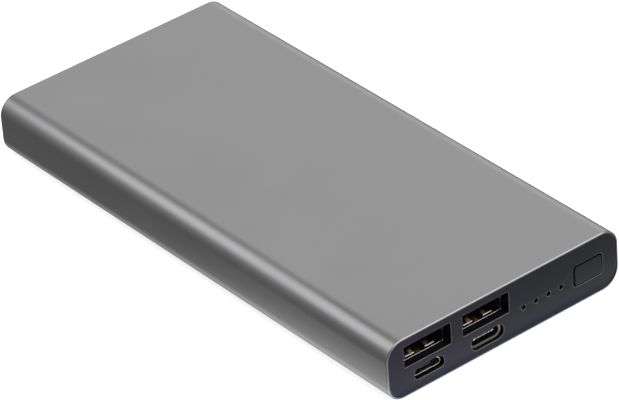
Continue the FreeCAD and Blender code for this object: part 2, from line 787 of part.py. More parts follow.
def usb_c_contact(x, face):
    """One contact on the tongue's upper (1) or lower (-1) face, with a tail up to the board."""
    surface = usb_c_z + face * usb_c_tongue[1] / 2
    z0, z1 = sorted((surface - face * 0.1, surface + face * 0.03))
    riser = usb_c_back + (0.1 if face > 0 else 0.7)
    sheet = 0.15
    pad = block(x - 0.125, x + 0.125, usb_c_tongue_front + 0.55, riser + sheet, z0, z1)
    tail = block(x - 0.1, x + 0.1, riser, riser + sheet, z0, board_bottom)
    toe = block(x - 0.1, x + 0.1, riser, riser + 0.5, board_bottom - sheet, board_bottom)
    return pad.fuse(tail).fuse(toe)


def make_usb_c_contacts():
    return together([usb_c_contact(x, face) for x in usb_c_pad_x() for face in (-1, 1)])


def make_usb_c_mid_plate():
    """The steel plate inside the tongue: its side edges show as the latches for the plug."""
    z0, z1 = usb_c_z - mid_plate_sheet / 2, usb_c_z + mid_plate_sheet / 2
    x0, x1 = usb_c_x - mid_plate_half, usb_c_x + mid_plate_half
    plate = block(x0, x1, usb_c_tongue_front + 0.3, usb_c_back - 0.6, z0, z1)
    for side in (-1, 1):
        edge = usb_c_x + side * mid_plate_half
        notch = sorted((edge - side * 0.35, edge + side))
        plate = plate.cut(block(*notch, usb_c_tongue_front + 1.3, usb_c_tongue_front + 2.3, z0 - 1, z1 + 1))
    for number, x in enumerate(usb_c_pad_x()):
        plate = plate.fuse(usb_c_stub(x, number))
    return plate.removeSplitter()


def usb_c_stub(x, number):
    """Where the mid plate was cut from its strip: a small stub that shows in the tongue's front edge."""
    if number in (0, usb_c_contacts - 1):
        half, rise = 0.24, 0.2
    else:
        half, rise = (0.17, 0.13) if number % 3 == 0 else (0.14, 0.09)
    front = usb_c_tongue_front - 0.02
    return block(x - half, x + half, front, usb_c_tongue_front + 0.4, usb_c_z - rise, usb_c_z + rise)


def make_usb_c_insulator():
    width, height = usb_c_shell
    inset = usb_c_shell_wall + 0.03
    size = (width - 2 * inset, height - 2 * inset, height / 2 - inset)
    base = rounded_block(size, usb_c_x, usb_c_z, usb_c_block_front, usb_c_back - 0.2)
    half_w, half_h = usb_c_tongue[0] / 2, usb_c_tongue[1] / 2
    tongue = block(
        usb_c_x - half_w,
        usb_c_x + half_w,
        usb_c_tongue_front,
        usb_c_block_front + 0.4,
        usb_c_z - half_h,
        usb_c_z + half_h,
    )
    tongue = tongue.makeChamfer(0.12, edges_at_depth(tongue, usb_c_tongue_front))
    insulator = base.fuse(tongue)
    insulator = insulator.cut(make_usb_c_mid_plate())
    for x in usb_c_pad_x():
        for face in (-1, 1):
            insulator = insulator.cut(usb_c_contact(x, face))
    return insulator.removeSplitter()


# ---------------------------------------------------------------- circuit board
def make_main_board():
    board = block(-board_half_width, board_half_width, board_front, board_rear, board_bottom, board_top)
    board = board.makeFillet(0.8, edges_along(board, V(0, 0, 1)))
    for side in (-1, 1):
        x = side * board_screw_x
        board = board.cut(post(0.9, x, board_screw_depth, board_bottom - 1, board_top + 1))
    for x in usb_a_x.values():
        leg_x = usb_a_shell[0] / 2 - usb_a_shell_wall / 2
        for side in (-1, 1):
            for depth in leg_depths:
                board = board.cut(board_slot(x + side * leg_x, depth, leg_length))
        for dx in usb_a_contact_x:
            board = board.cut(post(0.5, x + dx, usb_a_tail_depth + 0.12, board_bottom - 1, board_top + 1))
    for side in (-1, 1):
        leg_x = micro_x + side * (micro_wide / 2 - micro_shell_wall / 2)
        board = board.cut(board_slot(leg_x, micro_leg_depth, micro_leg_length))
        for depth in usb_c_leg_depths:
            leg_x = usb_c_x + side * (usb_c_shell[0] / 2 - usb_c_shell_wall / 2)
            board = board.cut(board_slot(leg_x, depth, usb_c_leg_length))
    return board


def board_slot(x, depth, length):
    """A slot for a shell leg, with a little room round it."""
    half_width, room = 0.25, 0.12
    return block(
        x - half_width, x + half_width, depth - room, depth + length + room, board_bottom - 1, board_top + 1
    )


def make_board_screws():
    screws = []
    for side in (-1, 1):
        x = side * board_screw_x
        head = post(1.4, x, board_screw_depth, board_top, board_top + 0.9)
        head = head.makeFillet(0.4, [e for e in head.Edges if e.BoundBox.ZMin > board_top + 0.8])
        screw = head.fuse(post(0.8, x, board_screw_depth, board_top - 4.6, board_top))
        for width, length in ((1.7, 0.35), (0.35, 1.7)):
            screw = screw.cut(
                block(
                    x - width / 2,
                    x + width / 2,
                    board_screw_depth - length / 2,
                    board_screw_depth + length / 2,
                    board_top + 0.4,
                    board_top + 2,
                )
            )
        screws.append(screw)
    return together(screws)


def make_board_insulator():
    return block(-26.0, 26.0, board_front, board_rear + 1.5, wall + 0.05, wall + 0.25)


def chip(x, depth, width, length, height, above=True):
    """A packaged part lying flat on the board, given by its centre, or hanging below it."""
    z0 = board_top if above else board_bottom - height
    return block(x - width / 2, x + width / 2, depth - length / 2, depth + length / 2, z0, z0 + height)


def make_power_inductors():
    coils = []
    for x in (-10.5, 10.5):
        coil = chip(x, 20.3, 6.6, 7.0, 3.0)
        coils.append(coil.makeFillet(0.7, edges_along(coil, V(0, 0, 1))))
    return together(coils)


def make_power_controller():
    return chip(0, 21.0, 5.0, 5.0, 0.85)


def make_charger_chips():
    return together([chip(x, 16.0, 4.9, 3.9, 1.5, above=False) for x in (-14.0, 8.0)])


def make_mosfets():
    above = [chip(x, 20.8, 3.0, 3.0, 0.8) for x in (-19.0, 19.0)]
    below = [chip(x, 20.5, 3.0, 3.0, 0.8, above=False) for x in (-4.0, 4.0)]
    return together(above + below)


def make_bulk_capacitors():
    parts = []
    for x in (-24.5, 24.5):
        part = chip(x, 21.2, 4.3, 6.0, 1.9)
        parts.append(part.makeChamfer(0.3, [e for e in part.Edges if e.BoundBox.ZMin > board_top + 1.8]))
    return together(parts)


def make_ceramic_capacitors():
    above = [chip(x, depth, 1.25, 2.0, 1.2) for x in (-5.2, -3.9, 3.9, 5.2) for depth in (19.4, 22.4)]
    near_switch = [chip(x, 11.5, 1.25, 2.0, 0.9) for x in (10.0, 12.0, 14.0, 22.0, 24.0)]
    below = [chip(10.0 + i * 2.2, 11.0, 1.25, 2.0, 1.2, above=False) for i in range(6)]
    return together(above + near_switch + below)


def make_chip_resistors():
    above = [chip(6.0 + i * 1.7, 7.2, 0.8, 1.6, 0.45) for i in range(8)]
    below = [chip(12.0 + i * 1.7, 15.5, 0.8, 1.6, 0.45, above=False) for i in range(8)]
    return together(above + below)


# ---------------------------------------------------------------- cells and packing
def make_cell(low):
    """A pouch cell: a soft-edged block, its side seams folded up, and a flat terrace at the front."""
    half, rear = cell_width / 2, cell_front + cell_length
    pouch = block(-half, half, cell_front, rear, low, low + cell_thickness)
    pouch = pouch.makeFillet(0.9, pouch.Edges)
    for side in (-1, 1):
        x0, x1 = sorted((side * (half - 0.1), side * (half + 0.35)))
        pouch = pouch.fuse(block(x0, x1, cell_front + 1.5, rear - 1.5, low + 1.6, low + 4.8))
    middle = low + cell_thickness / 2
    terrace = block(
        -half + 1.5,
        half - 1.5,
        terrace_front,
        cell_front + 0.5,
        middle - terrace_sheet / 2,
        middle + terrace_sheet / 2,
    )
    return pouch.fuse(terrace).removeSplitter()


def make_cell_tabs():
    """Two nickel tabs a cell, bent onto the board's top from the upper cell and underneath from the lower."""
    bend = board_rear + 0.35
    tabs = []
    for low, pad, direction in (
        (cell_upper_z, board_top, 1),
        (cell_lower_z, board_bottom - tab_sheet, -1),
    ):
        middle = low + cell_thickness / 2
        top = middle + tab_sheet / 2
        for x in (-14.0, 14.0):
            x0, x1 = x - tab_width / 2, x + tab_width / 2
            flat = block(x0, x1, bend, terrace_front, top - tab_sheet, top)
            z0, z1 = (pad, top) if direction > 0 else (top - tab_sheet, pad + tab_sheet)
            drop = block(x0, x1, bend, bend + tab_sheet, z0, z1)
            foot = block(x0, x1, board_rear - 1.0, bend + tab_sheet, pad, pad + tab_sheet)
            tabs.append(flat.fuse(drop).fuse(foot).removeSplitter())
    return together(tabs)


def make_cell_bond_tape():
    low = cell_lower_z + cell_thickness
    return block(-24, 24, cell_front + 6, cell_front + cell_length - 6, low, low + cell_bond)


def foam(x_half, depth0, depth1, z0, z1):
    pad = block(-x_half, x_half, depth0, depth1, z0, z1)
    return pad.makeFillet(0.15, pad.Edges)


def make_foam_pad_lower():
    return foam(24, cell_front + 8, cell_front + cell_length - 8, wall + 0.03, cell_lower_z - 0.03)


def make_foam_pad_upper():
    top = cell_upper_z + cell_thickness
    return foam(24, cell_front + 8, cell_front + cell_length - 8, top + 0.03, body_height - wall - 0.03)


def make_foam_pad_rear():
    start = cell_front + cell_length + 0.1
    return foam(24, start, body_length - bulkhead_back - 1.05, 2.8, body_height - 2.8)


def make_terrace_tape():
    strips = []
    for low in (cell_lower_z, cell_upper_z):
        top = low + cell_thickness / 2 + terrace_sheet / 2
        strips.append(block(-25, 25, terrace_front + 0.3, cell_front - 0.1, top, top + 0.08))
    return together(strips)


def make_thermistor():
    bead = Part.makeSphere(0.65, V(thermistor_x, at(thermistor_depth), thermistor_z))
    return bead


def make_thermistor_leads():
    leads = []
    for dx in (-0.35, 0.35):
        x = thermistor_x + dx
        run = [
            V(x, at(thermistor_depth - 0.62), thermistor_z),
            V(x, at(terrace_front - 0.2), thermistor_z),
            V(x + dx, at(terrace_front - 0.8), thermistor_z - 2.2),
            V(x + 2 * dx, at(board_rear - 0.6), board_top + 0.25),
        ]
        spline = Part.BSplineCurve()
        spline.interpolate(run)
        path = Part.Wire([spline.toShape()])
        start = spline.tangent(spline.FirstParameter)[0]
        ring = Part.Wire([Part.makeCircle(0.16, run[0], start)])
        leads.append(path.makePipeShell([ring], True, False))
    return together(leads)


# ---------------------------------------------------------------- the whole assembly
def make_parts():
    left, right = usb_a_x["left"], usb_a_x["right"]
    return {
        "sleeve": make_sleeve(),
        "front_cover": make_front_cover(),
        "front_tape": make_tape(),
        "front_bulkhead": make_front_bulkhead(),
        "rear_cover": mirrored_to_rear(blank_cover()),
        "rear_tape": make_rear_tape(),
        "rear_bulkhead": make_rear_bulkhead(),
        "end_screws": make_end_screws(),
        "light_guide": make_light_guide(),
        "status_leds": make_status_leds(),
        "power_button": make_power_button(),
        "switch_plunger": make_switch_plunger(),
        "switch_dome": make_switch_dome(),
        "switch_body": make_switch_body(),
        "switch_bracket": make_switch_bracket(),
        "usb_a_left_shell": make_usb_a_shell(left),
        "usb_a_left_insulator": make_usb_a_insulator(left),
        "usb_a_left_contacts": make_usb_a_contacts(left),
        "usb_a_right_shell": make_usb_a_shell(right),
        "usb_a_right_insulator": make_usb_a_insulator(right),
        "usb_a_right_contacts": make_usb_a_contacts(right),
        "micro_usb_shell": make_micro_usb_shell(),
        "micro_usb_insulator": make_micro_usb_insulator(),
        "micro_usb_contacts": make_micro_usb_contacts(),
        "usb_c_shell": make_usb_c_shell(),
        "usb_c_insulator": make_usb_c_insulator(),
        "usb_c_mid_plate": make_usb_c_mid_plate(),
        "usb_c_contacts": make_usb_c_contacts(),
        "main_board": make_main_board(),
        "board_screws": make_board_screws(),
        "board_insulator": make_board_insulator(),
        "power_inductors": make_power_inductors(),
        "power_controller": make_power_controller(),
        "charger_chips": make_charger_chips(),
        "mosfets": make_mosfets(),
        "bulk_capacitors": make_bulk_capacitors(),
        "ceramic_capacitors": make_ceramic_capacitors(),
        "chip_resistors": make_chip_resistors(),
        "cell_lower": make_cell(cell_lower_z),
        "cell_upper": make_cell(cell_upper_z),
        "cell_tabs": make_cell_tabs(),
        "cell_bond_tape": make_cell_bond_tape(),
        "foam_pad_lower": make_foam_pad_lower(),
        "foam_pad_upper": make_foam_pad_upper(),
        "foam_pad_rear": make_foam_pad_rear(),
        "terrace_tape": make_terrace_tape(),
        "thermistor": make_thermistor(),
        "thermistor_leads": make_thermistor_leads(),
    }


os.makedirs("parts", exist_ok=True)
for name, shape in make_parts().items():
    shape.exportStep(f"parts/{name}.step")
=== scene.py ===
import json
import math

import bmesh
import bpy
from mathutils import Matrix, Vector, noise


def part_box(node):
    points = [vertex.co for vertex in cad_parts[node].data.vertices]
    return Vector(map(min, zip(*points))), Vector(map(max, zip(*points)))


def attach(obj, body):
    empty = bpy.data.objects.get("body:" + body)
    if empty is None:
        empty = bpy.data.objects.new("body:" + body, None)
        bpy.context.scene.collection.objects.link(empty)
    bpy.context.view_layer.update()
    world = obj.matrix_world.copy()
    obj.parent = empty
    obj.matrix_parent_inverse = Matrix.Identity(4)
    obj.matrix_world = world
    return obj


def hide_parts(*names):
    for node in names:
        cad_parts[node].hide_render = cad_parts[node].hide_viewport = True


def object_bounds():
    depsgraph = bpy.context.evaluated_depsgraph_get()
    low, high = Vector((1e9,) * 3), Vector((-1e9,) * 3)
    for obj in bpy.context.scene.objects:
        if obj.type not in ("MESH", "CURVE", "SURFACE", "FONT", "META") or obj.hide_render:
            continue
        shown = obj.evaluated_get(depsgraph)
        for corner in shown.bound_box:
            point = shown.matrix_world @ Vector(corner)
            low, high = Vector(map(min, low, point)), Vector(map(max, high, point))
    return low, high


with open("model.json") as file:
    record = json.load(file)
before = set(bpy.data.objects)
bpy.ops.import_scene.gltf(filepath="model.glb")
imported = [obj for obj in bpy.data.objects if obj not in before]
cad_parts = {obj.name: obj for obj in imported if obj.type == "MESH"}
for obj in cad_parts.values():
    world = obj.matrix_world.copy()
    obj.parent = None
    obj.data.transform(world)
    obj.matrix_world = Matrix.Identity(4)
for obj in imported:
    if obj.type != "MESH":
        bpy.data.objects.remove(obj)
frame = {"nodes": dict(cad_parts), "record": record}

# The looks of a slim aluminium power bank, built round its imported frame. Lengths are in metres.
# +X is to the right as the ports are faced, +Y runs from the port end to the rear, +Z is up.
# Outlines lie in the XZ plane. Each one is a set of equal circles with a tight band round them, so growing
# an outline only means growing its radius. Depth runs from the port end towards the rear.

cad_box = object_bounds()
LOW, HIGH = cad_box
MM = 0.001

# ------------------------------------------------------------------ sizes taken from the frame
WIDTH, LENGTH, HEIGHT = HIGH.x - LOW.x, HIGH.y - LOW.y, HIGH.z - LOW.z
FRONT_Y, MIDDLE_Z = LOW.y, (LOW.z + HIGH.z) / 2


def depth_of(node, end=0):
    """How far behind the port end a node starts (0) or ends (1)."""
    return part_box(node)[end].y - FRONT_Y


def centre_of(node):
    low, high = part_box(node)
    return (low + high) / 2


COVER_FACE, COVER_BACK = depth_of("front_cover"), depth_of("front_cover", 1)
TAPE_BACK = depth_of("front_tape", 1)
BUTTON_FACE = depth_of("power_button")
COVER_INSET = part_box("front_cover")[0].x - LOW.x

CORNER_RADIUS = 4.9 * MM
WALL = 0.9 * MM
RIM_CHAMFER = 0.2 * MM
COVER_GAP = 0.1 * MM  # between a cover and the tube
RIM_WALL = COVER_INSET - COVER_GAP
COVER_ROUND = 0.25 * MM
OPENING_ROUND = 0.15 * MM
BULKHEAD_THICKNESS = 1.8 * MM

CHANNEL_INSET = 2.0 * MM  # from the tube's inner wall to a screw channel's axis
CHANNEL_X = WIDTH / 2 - WALL - CHANNEL_INSET
CHANNEL_RADIUS, CHANNEL_HOLE = 1.6 * MM, 1.02 * MM
CHANNEL_SLOT_HALF = 0.45 * MM

# Rounded rectangles as (width, height, corner radius)
USB_A_OPENING = (13.9 * MM, 5.7 * MM, 0.35 * MM)
USB_C_OPENING = (9.8 * MM, 3.8 * MM, 1.9 * MM)
BUTTON_SLOT = (9.05 * MM, 5.75 * MM, 1.0 * MM)
BUTTON_CAP = (8.3 * MM, 5.0 * MM, 0.7 * MM)
BUTTON_POST = (2.4 * MM, 1.4 * MM, 0.15 * MM)

BUTTON_ROUND = 0.18 * MM
FLANGE_CORNER, FLANGE_THICKNESS = 0.8 * MM, 0.6 * MM
FLANGE_GAP = 0.05 * MM  # between the cover's back and the flange

MICRO_CORNER = 0.8 * MM
MICRO_MARGIN = 0.45 * MM  # between the shell and its opening
MICRO_KNEE, MICRO_HEIGHT = 1.25 * MM, 2.5 * MM  # above the shell's underside
MICRO_HALF_TOP = 2.95 * MM
MICRO_LEAN = 0.07 * MM  # how far the side has come in at its knee

INDICATOR_COUNT, INDICATOR_RADIUS = 4, 0.62 * MM
LED_HALF_WIDTH = 0.8 * MM
LIGHT_BAR_BELOW = 0.6 * MM  # from the light guide's underside to its pins' axes


# ------------------------------------------------------------------ outlines and meshes
def band(centres, radius, steps=10):
    """The band round equal circles, anticlockwise seen from the front, as (x, z) pairs.

    The centres go anticlockwise too. One centre gives a circle and two give a stadium."""
    points = []
    count = len(centres)
    for i, (cx, cz) in enumerate(centres):
        first, sweep = 0.0, 2 * math.pi
        if count > 1:
            px, pz = centres[i - 1]
            nx, nz = centres[(i + 1) % count]
            first = math.atan2(cz - pz, cx - px) - math.pi / 2
            last = math.atan2(nz - cz, nx - cx) - math.pi / 2
            sweep = (last - first) % (2 * math.pi)
        turns = max(2, round(steps * sweep / (math.pi / 2)))
        for k in range(turns if count == 1 else turns + 1):
            angle = first + sweep * k / turns
            points.append((cx + radius * math.cos(angle), cz + radius * math.sin(angle)))
    return points


def rounded_box(width, height, radius, x, z):
    """A rounded rectangle, or a stadium, as corner circles and their radius."""
    radius = min(radius, height / 2)
    dx, dz = width / 2 - radius, height / 2 - radius
    if dz < 1e-9:
        return ([(x + dx, z), (x - dx, z)], radius)
    return ([(x + dx, z - dz), (x + dx, z + dz), (x - dx, z + dz), (x - dx, z - dz)], radius)


def body_outline(inset=0.0):
    centres, radius = rounded_box(WIDTH, HEIGHT, CORNER_RADIUS, 0, MIDDLE_Z)
    return (centres, radius - inset)


def ring(mesh, outline, depth, grow=0.0, steps=10):
    centres, radius = outline
    return [mesh.verts.new((x, FRONT_Y + depth, z)) for x, z in band(centres, radius + grow, steps)]


def skin(mesh, rings, closed=False, materials=None):
    """Quads between each ring and the next. materials holds one index for each gap between rings."""
    followers = rings[1:] + rings[:1] if closed else rings[1:]
    for number, (a, b) in enumerate(zip(rings, followers)):
        for i in range(len(a)):
            j = (i + 1) % len(a)
            face = mesh.faces.new((a[i], a[j], b[j], b[i]))
            face.material_index = materials[number] if materials else 0


def cap(mesh, rings, material=0):
    """A flat face with holes: the first ring is its outside, and the rest are holes."""
    edges = []
    for loop in rings:
        for i in range(len(loop)):
            edges.append(mesh.edges.get((loop[i], loop[(i + 1) % len(loop)])))
    filled = bmesh.ops.triangle_fill(mesh, use_beauty=True, use_dissolve=False, edges=edges)
    for item in filled["geom"]:
        if isinstance(item, bmesh.types.BMFace):
            item.material_index = material


def quarter_turn(radius, steps=5):
    """Stops round a quarter circle, as (distance along the first axis, distance left on the second)."""
    angles = [math.pi / 2 * k / steps for k in range(steps + 1)]
    return [(radius * (1 - math.cos(a)), radius * (1 - math.sin(a))) for a in angles]


def finish_mesh(mesh, name, materials, sharp_degrees=50):
    """Turns a bmesh into a shaded object with outward normals."""
    bmesh.ops.remove_doubles(mesh, verts=mesh.verts, dist=1e-7)
    bmesh.ops.recalc_face_normals(mesh, faces=mesh.faces)
    data = bpy.data.meshes.new(name)
    mesh.to_mesh(data)
    mesh.free()
    for material in materials:
        data.materials.append(material)
    obj = bpy.data.objects.new(name, data)
    bpy.context.scene.collection.objects.link(obj)
    smooth(obj, sharp_degrees)
    modifier = obj.modifiers.new("face_weighted_normals", "WEIGHTED_NORMAL")
    modifier.keep_sharp = True
    return obj


def smooth(obj, sharp_degrees):
    """Smooth shading that stays crisp across edges sharper than the angle."""
    data = obj.data
    if data.has_custom_normals:
        with bpy.context.temp_override(object=obj, active_object=obj, selected_objects=[obj]):
            bpy.ops.mesh.customdata_custom_splitnormals_clear()
    data.shade_smooth()
    data.set_sharp_from_angle(angle=math.radians(sharp_degrees))


# ------------------------------------------------------------------ materials
class Shader:
    """A node material under construction: its tree, its main shader and short ways to add nodes."""

    def __init__(self, name):
        self.material = bpy.data.materials.new(name)
        self.material.use_nodes = True
        self.tree = self.material.node_tree
        self.main = self.tree.nodes["Principled BSDF"]

    def add(self, kind, settings=None, **inputs):
        node = self.tree.nodes.new("ShaderNode" + kind)
        for key, value in (settings or {}).items():
            setattr(node, key, value)
        for key, value in inputs.items():
            self.put(node, key.replace("_", " "), value)
        return node

    def put(self, node, key, value):
        """Sets an input to a number, or links it to another node's output. i2 means input number 2."""
        socket = node.inputs[int(key[1:])] if key[0] == "i" and key[1:].isdigit() else node.inputs[key]
        if isinstance(value, bpy.types.NodeSocket):
            self.tree.links.new(value, socket)
        elif isinstance(value, tuple) and len(value) == 3 and len(socket.default_value) == 4:
            socket.default_value = (*value, 1.0)
        else:
            socket.default_value = value

    def set(self, **inputs):
        for key, value in inputs.items():
            self.put(self.main, key.replace("_", " "), value)

    def place(self):
        return self.add("TexCoord").outputs["Object"]

    def along(self, axis):
        """The object's X, Y or Z at the shaded point, in metres."""
        return self.add("SeparateXYZ", Vector=self.place()).outputs[axis]

    def noise(self, size, detail=2.0, roughness=0.5, stretch=(1, 1, 1)):
        """A noise value whose features are about size metres across."""
        scaled = self.add("Mapping", Vector=self.place(), Scale=tuple(s / size for s in stretch))
        node = self.add("TexNoise", Vector=scaled.outputs[0], Scale=1.0, Detail=detail, Roughness=roughness)
        return node.outputs["Fac"]

    def cells(self, size):
        """The distance to the nearest of scattered points that are about size metres apart."""
        return self.add("TexVoronoi", Vector=self.place(), Scale=1 / size).outputs["Distance"]

    def spread(self, value, low, high, start=0.0, end=1.0, smooth_step=False):
        """Remaps a value between start and end to low..high."""
        settings = {"interpolation_type": "SMOOTHSTEP"} if smooth_step else None
        return self.add("MapRange", settings, i0=value, i1=start, i2=end, i3=low, i4=high).outputs["Result"]

    def maths(self, operation, a, b):
        return self.add("Math", {"operation": operation}, i0=a, i1=b).outputs[0]

    def tint(self, factor, dark, light):
        """A colour between two colours, either of which may itself be a socket."""
        node = self.add("Mix", {"data_type": "RGBA"}, i0=factor)
        self.put(node, "i6", dark)
        self.put(node, "i7", light)
        return node.outputs[2]

    def bump(self, height, distance, strength=1.0):
        return self.add("Bump", Strength=strength, Distance=distance, Height=height).outputs["Normal"]


def anodised_aluminium():
    """Bead-blasted grey anodising: a fine even grain, faint clouding and a soft metallic glow."""
    s = Shader("anodised_aluminium")
    grain = s.noise(0.16 * MM, detail=3.0, roughness=0.6)
    cloud = s.noise(22 * MM, detail=3.0)
    mixed = s.add("Math", {"operation": "MULTIPLY_ADD"}, i0=grain, i1=0.35, i2=cloud).outputs[0]
    s.set(
        Base_Color=s.tint(s.spread(mixed, 0, 1, 0.35, 0.95), (0.415, 0.415, 0.42), (0.47, 0.47, 0.475)),
        Metallic=1.0,
        Roughness=s.spread(cloud, 0.36, 0.42, 0.3, 0.7),
        Normal=s.bump(grain, 0.006 * MM, 0.5),
    )
    return s.material


def cut_rim_aluminium():
    """The chamfer cut after blasting: smoother and a little brighter, with fine tool lines round it."""
    s = Shader("cut_rim_aluminium")
    lines = s.noise(0.05 * MM, detail=2.0, stretch=(1, 4, 1))
    s.set(
        Base_Color=(0.43, 0.43, 0.425),
        Metallic=1.0,
        Roughness=s.spread(lines, 0.22, 0.32, 0.3, 0.7),
        Normal=s.bump(lines, 0.002 * MM, 0.3),
    )
    return s.material


def cover_plastic():
    """The end covers' slate plastic: satin over a very fine texture, shifting from plum to blue-green."""
    s = Shader("satin_slate_plastic")
    texture = s.noise(0.12 * MM, detail=2.0)
    cloud = s.noise(9 * MM, detail=2.0)
    x = s.along("X")
    drift = s.maths("ADD", s.spread(x, 0, 1, -26 * MM, 12 * MM, True), s.spread(cloud, -0.2, 0.2, 0.3, 0.7))
    plum, green, grey = (0.033, 0.026, 0.050), (0.009, 0.0145, 0.021), (0.011, 0.0125, 0.018)
    left = s.tint(drift, plum, green)
    s.set(
        Base_Color=s.tint(s.spread(x, 0, 1, 12 * MM, 30 * MM, True), left, grey),
        Roughness=s.spread(texture, 0.30, 0.40, 0.3, 0.7),
        Specular_IOR_Level=0.3,
        Normal=s.bump(texture, 0.004 * MM, 0.35),
    )
    return s.material


def edge_highlight_plastic():
    """The rounded edges of the covers and their openings: a brighter gloss, and a lighter grey than the faces
    that is painted highlight.
    """
    s = Shader("painted_edge_highlight_plastic")
    highlight_mottle = s.noise(0.6 * MM, detail=3.0)
    s.set(
        # Lighter grey than the faces: painted highlight along the rounded edges, mottled at random.
        Base_Color=s.tint(highlight_mottle, (0.05, 0.05, 0.058), (0.08, 0.08, 0.09)),
        Roughness=s.spread(highlight_mottle, 0.22, 0.34, 0.3, 0.7),
        Specular_IOR_Level=1.0,
        Coat_Weight=0.8,
        Coat_Roughness=0.25,
    )
    return s.material


def opening_painted_shade():
    """The black walls of the openings and the sides of the button, deep and matt: painted shade in the
    recesses.
    """
    s = Shader("opening_painted_shade")
    texture = s.noise(0.15 * MM)
    s.set(
        Base_Color=s.tint(texture, (0.002, 0.002, 0.002), (0.004, 0.004, 0.0045)),
        Roughness=0.75,
        Specular_IOR_Level=0.15,
    )
    return s.material


def moulded_plastic(name, colour, roughness=0.5, texture_size=0.2 * MM, specular=0.5):
    """Moulded plastic, epoxy or ceramic: a fine surface texture with slightly uneven colour."""
    s = Shader(name)
    texture = s.noise(texture_size)
    dark = tuple(c * 0.85 for c in colour)
    s.set(
        Base_Color=s.tint(texture, dark, colour),
        Roughness=s.spread(texture, roughness - 0.06, roughness + 0.06, 0.3, 0.7),
        Specular_IOR_Level=specular,
        Normal=s.bump(texture, 0.004 * MM, 0.4),
    )
    return s.material


def plated_metal(name, colour, roughness=0.2):
    """Stamped and plated sheet: faint rolling lines and slightly uneven shine."""
    s = Shader(name)
    rolled = s.noise(0.09 * MM, detail=2.0, stretch=(1, 0.08, 1))
    cloud = s.noise(1.5 * MM, detail=2.0)
    dark = tuple(c * 0.9 for c in colour)
    s.set(
        Base_Color=s.tint(cloud, dark, colour),
        Metallic=1.0,
        Roughness=s.spread(rolled, roughness - 0.05, roughness + 0.07, 0.3, 0.7),
        Normal=s.bump(rolled, 0.002 * MM, 0.4),
    )
    return s.material


def usb_c_steel_painted_shade():
    """The USB-C mouth: brushed steel, less shiny than the plated shells, and darker and browner than them as
    painted shade in its recess.
    """
    s = Shader("brushed_steel_painted_shade")
    brushed = s.noise(0.08 * MM, detail=2.0, stretch=(0.1, 1, 1))
    s.set(
        Base_Color=s.tint(brushed, (0.20, 0.18, 0.165), (0.27, 0.245, 0.23)),
        Metallic=1.0,
        Roughness=s.spread(brushed, 0.28, 0.4, 0.3, 0.7),
        Normal=s.bump(brushed, 0.003 * MM, 0.5),
    )
    return s.material


def circuit_board():
    """Green solder mask over square-cornered copper pours, with tinned vias scattered between."""
    s = Shader("solder_mask")
    snapped = s.add("VectorMath", {"operation": "SNAP"}, i0=s.place(), i1=(0.8 * MM, 0.8 * MM, 0.8 * MM))
    pour = s.add("TexNoise", Vector=snapped.outputs[0], Scale=1 / (4 * MM), Detail=1.0).outputs["Fac"]
    copper = s.spread(pour, 0, 1, 0.47, 0.5)
    mask = s.tint(copper, (0.006, 0.045, 0.026), (0.014, 0.085, 0.05))
    via = s.spread(s.cells(2.4 * MM), 1, 0, 0.07, 0.09)
    s.set(
        Base_Color=s.tint(via, mask, (0.62, 0.60, 0.55)),
        Metallic=via,
        Roughness=0.33,
        Normal=s.bump(copper, 0.03 * MM, 0.6),
    )
    return s.material


def pouch_foil():
    """Aluminium laminate under nylon: soft crinkles darkened in their hollows by painted shade, fine grain
    and a satin shine.
    """
    s = Shader("pouch_foil")
    crinkle, grain = s.noise(2.5 * MM, detail=4.0, roughness=0.55), s.noise(0.15 * MM)
    height = s.maths("ADD", crinkle, s.maths("MULTIPLY", grain, 0.05))
    s.set(
        # The colour follows the crinkles' height: painted shade in their hollows.
        Base_Color=s.tint(crinkle, (0.50, 0.50, 0.515), (0.66, 0.66, 0.67)),
        Metallic=0.9,
        Roughness=s.spread(crinkle, 0.28, 0.42, 0.3, 0.7),
        Coat_Weight=0.4,
        Coat_Roughness=0.2,
        Normal=s.bump(height, 0.12 * MM, 0.5),
    )
    return s.material


def open_cell_foam():
    """Grey foam: open cells about half a millimetre across, darker in their hollows with painted shade."""
    s = Shader("open_cell_foam")
    cell, cloud = s.cells(0.45 * MM), s.noise(6 * MM)
    walls = s.spread(cell, 0, 1, 0.1, 0.6)
    light = s.tint(cloud, (0.060, 0.060, 0.063), (0.085, 0.085, 0.088))
    s.set(
        # The near-black in the cell hollows is painted shade; the cloud between is uneven grey.
        Base_Color=s.tint(walls, (0.012, 0.012, 0.013), light),
        Roughness=0.95,
        Specular_IOR_Level=0.15,
        Normal=s.bump(walls, 0.15 * MM, 0.9),
    )
    return s.material


def amber_film():
    """Polyimide film: clear amber, glossy, with faint streaks."""
    s = Shader("amber_film")
    streak = s.noise(1.2 * MM, detail=2.0, stretch=(0.2, 1, 1))
    s.set(
        Base_Color=s.tint(streak, (0.36, 0.14, 0.012), (0.52, 0.24, 0.03)),
        Roughness=s.spread(streak, 0.14, 0.24, 0.3, 0.7),
        Coat_Weight=0.6,
        Coat_Roughness=0.08,
        Normal=s.bump(streak, 0.02 * MM, 0.4),
    )
    return s.material


